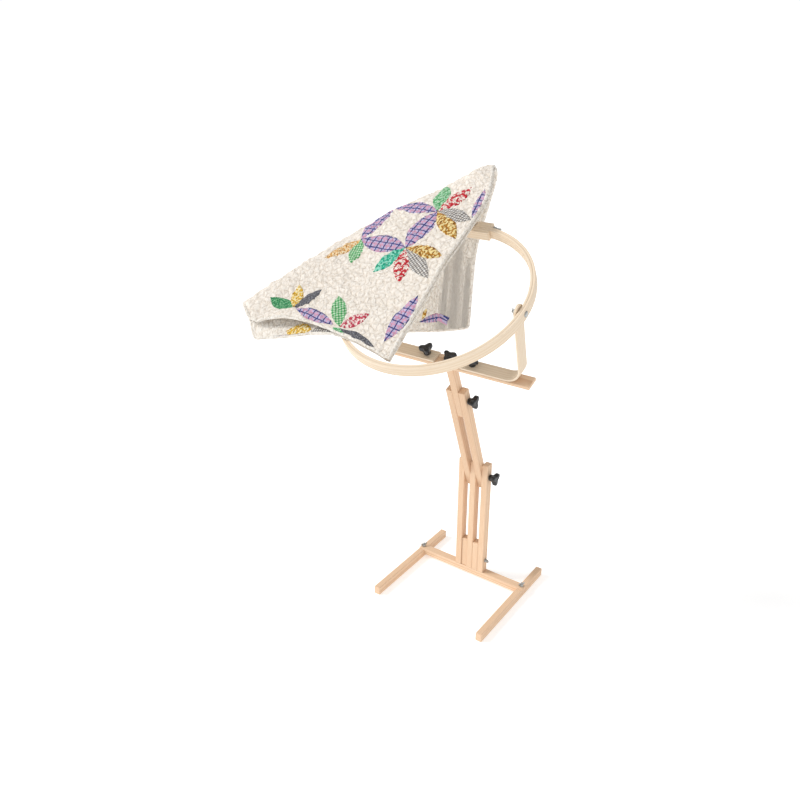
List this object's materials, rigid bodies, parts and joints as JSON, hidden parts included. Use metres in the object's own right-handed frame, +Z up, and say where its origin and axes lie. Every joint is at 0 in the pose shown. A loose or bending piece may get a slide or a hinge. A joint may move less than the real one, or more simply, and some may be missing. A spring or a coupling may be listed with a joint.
{
  "type": "quilt on a hoop floor stand",
  "caption": "Folded patchwork quilt draped over an adjustable wooden quilting-hoop floor stand with tilting arms, swivel head and clamped bentwood hoop.",
  "frame": {"origin": "on the floor, under the middle of the whole object's bounding box", "axes": "+X along the crossbar to the sitter's right, +Y away from the sitter, +Z up"},
  "size_m": [0.7358, 0.606, 1.2171],
  "materials": {
    "hardwood": "sanded, unfinished pale hardwood",
    "bentwood": "sanded steam-bent hardwood",
    "zinc_plated_steel": "bright zinc plating",
    "black_plastic": "moulded, satin",
    "quilt_cotton": "washed quilted cotton, off-white with print patches"
  },
  "bodies": {
    "base": {"crossbar": "hardwood", "left_foot": "hardwood", "left_foot_bolt": "zinc_plated_steel", "left_post_screw": "zinc_plated_steel", "left_spacer": "hardwood", "left_upright": "hardwood", "lower_pivot_bolt": "zinc_plated_steel", "lower_pivot_washer": "zinc_plated_steel", "middle_upright": "hardwood", "post_bolt": "zinc_plated_steel", "right_foot": "hardwood", "right_foot_bolt": "zinc_plated_steel", "right_post_screw": "zinc_plated_steel", "right_spacer": "hardwood", "right_upright": "hardwood"},
    "lower_arms": {"left_lower_arm": "hardwood", "right_lower_arm": "hardwood", "upper_pivot_bolt": "zinc_plated_steel", "upper_pivot_washer": "zinc_plated_steel"},
    "upper_arm": {"head_stud": "zinc_plated_steel", "upper_arm": "hardwood"},
    "head": {"head_washer": "zinc_plated_steel", "left_bracket": "bentwood", "left_bracket_bolt": "zinc_plated_steel", "left_bracket_washer": "zinc_plated_steel", "right_bracket": "bentwood", "right_bracket_bolt": "zinc_plated_steel", "right_bracket_washer": "zinc_plated_steel", "support_board": "hardwood"},
    "hoop": {"clamp_screw": "zinc_plated_steel", "inner_hoop": "bentwood", "inner_hoop_block": "bentwood", "left_clamp_block": "bentwood", "left_hoop_bolt": "zinc_plated_steel", "left_hoop_washer": "zinc_plated_steel", "outer_hoop": "bentwood", "right_clamp_block": "bentwood", "right_hoop_bolt": "zinc_plated_steel", "right_hoop_washer": "zinc_plated_steel"},
    "quilt": {"quilt": "quilt_cotton"},
    "clamp_wing_nut_body": {"clamp_wing_nut": "zinc_plated_steel"},
    "head_knob_body": {"head_knob": "black_plastic"},
    "left_bracket_knob_body": {"left_bracket_knob": "black_plastic"},
    "left_foot_wing_nut_body": {"left_foot_wing_nut": "zinc_plated_steel"},
    "left_hoop_wing_nut_body": {"left_hoop_wing_nut": "zinc_plated_steel"},
    "lower_knob_body": {"lower_knob": "black_plastic"},
    "post_wing_nut_body": {"post_wing_nut": "zinc_plated_steel"},
    "right_bracket_knob_body": {"right_bracket_knob": "black_plastic"},
    "right_foot_wing_nut_body": {"right_foot_wing_nut": "zinc_plated_steel"},
    "right_hoop_wing_nut_body": {"right_hoop_wing_nut": "zinc_plated_steel"},
    "upper_knob_body": {"upper_knob": "black_plastic"}
  },
  "joints": [
    {"name": "lower_arm_tilt", "type": "hinge", "parent": "base", "child": "lower_arms", "pos_m": [0.11927, 0.15593, 0.36195], "axis": [1, 0, 0], "range_deg": [-40, 45]},
    {"name": "upper_arm_tilt", "type": "hinge", "parent": "lower_arms", "child": "upper_arm", "pos_m": [0.11927, 0.05011, 0.64171], "axis": [1, 0, 0], "range_deg": [-60, 60]},
    {"name": "head_swivel", "type": "hinge", "parent": "upper_arm", "child": "head", "pos_m": [0.11927, 0.00256, 0.75731], "axis": [0, -0.3805, 0.9248], "continuous": true},
    {"name": "hoop_tilt", "type": "hinge", "parent": "head", "child": "hoop", "pos_m": [0.11927, -0.08271, 0.96455], "axis": [1, 0, 0], "range_deg": [-45, 45]},
    {"name": "quilt_lift", "type": "slide", "parent": "hoop", "child": "quilt", "axis": [0, 0, 1], "range_m": [0, 0.45]},
    {"name": "lower_knob_turn", "type": "hinge", "parent": "base", "child": "lower_knob_body", "pos_m": [0.16959, 0.15593, 0.36195], "axis": [1, 0, 0], "continuous": true},
    {"name": "upper_knob_turn", "type": "hinge", "parent": "lower_arms", "child": "upper_knob_body", "pos_m": [0.15024, 0.05011, 0.64171], "axis": [1, 0, 0], "continuous": true},
    {"name": "head_knob_turn", "type": "hinge", "parent": "upper_arm", "child": "head_knob_body", "pos_m": [0.11927, -0.00186, 0.76804], "axis": [0, -0.3805, 0.9248], "continuous": true},
    {"name": "left_bracket_knob_turn", "type": "hinge", "parent": "head", "child": "left_bracket_knob_body", "pos_m": [0.05027, -0.00425, 0.77386], "axis": [0, -0.3805, 0.9248], "continuous": true},
    {"name": "right_bracket_knob_turn", "type": "hinge", "parent": "head", "child": "right_bracket_knob_body", "pos_m": [0.18827, -0.00425, 0.77386], "axis": [0, -0.3805, 0.9248], "continuous": true},
    {"name": "left_foot_wing_nut_turn", "type": "hinge", "parent": "base", "child": "left_foot_wing_nut_body", "pos_m": [-0.05686, 0.15593, 0.02875], "axis": [0, 0, 1], "continuous": true},
    {"name": "right_foot_wing_nut_turn", "type": "hinge", "parent": "base", "child": "right_foot_wing_nut_body", "pos_m": [0.2954, 0.15593, 0.02875], "axis": [0, 0, 1], "continuous": true},
    {"name": "post_wing_nut_turn", "type": "hinge", "parent": "base", "child": "post_wing_nut_body", "pos_m": [0.16779, 0.15593, 0.06845], "axis": [1, 0, 0], "continuous": true},
    {"name": "clamp_wing_nut_turn", "type": "hinge", "parent": "hoop", "child": "clamp_wing_nut_body", "pos_m": [0.15157, 0.1376, 1.08813], "axis": [1, 0, 0], "continuous": true},
    {"name": "left_hoop_wing_nut_turn", "type": "hinge", "parent": "hoop", "child": "left_hoop_wing_nut_body", "pos_m": [-0.10313, -0.08271, 0.96455], "axis": [1, 0, 0], "continuous": true},
    {"name": "right_hoop_wing_nut_turn", "type": "hinge", "parent": "hoop", "child": "right_hoop_wing_nut_body", "pos_m": [0.34167, -0.08271, 0.96455], "axis": [-1, 0, 0], "continuous": true}
  ]
}
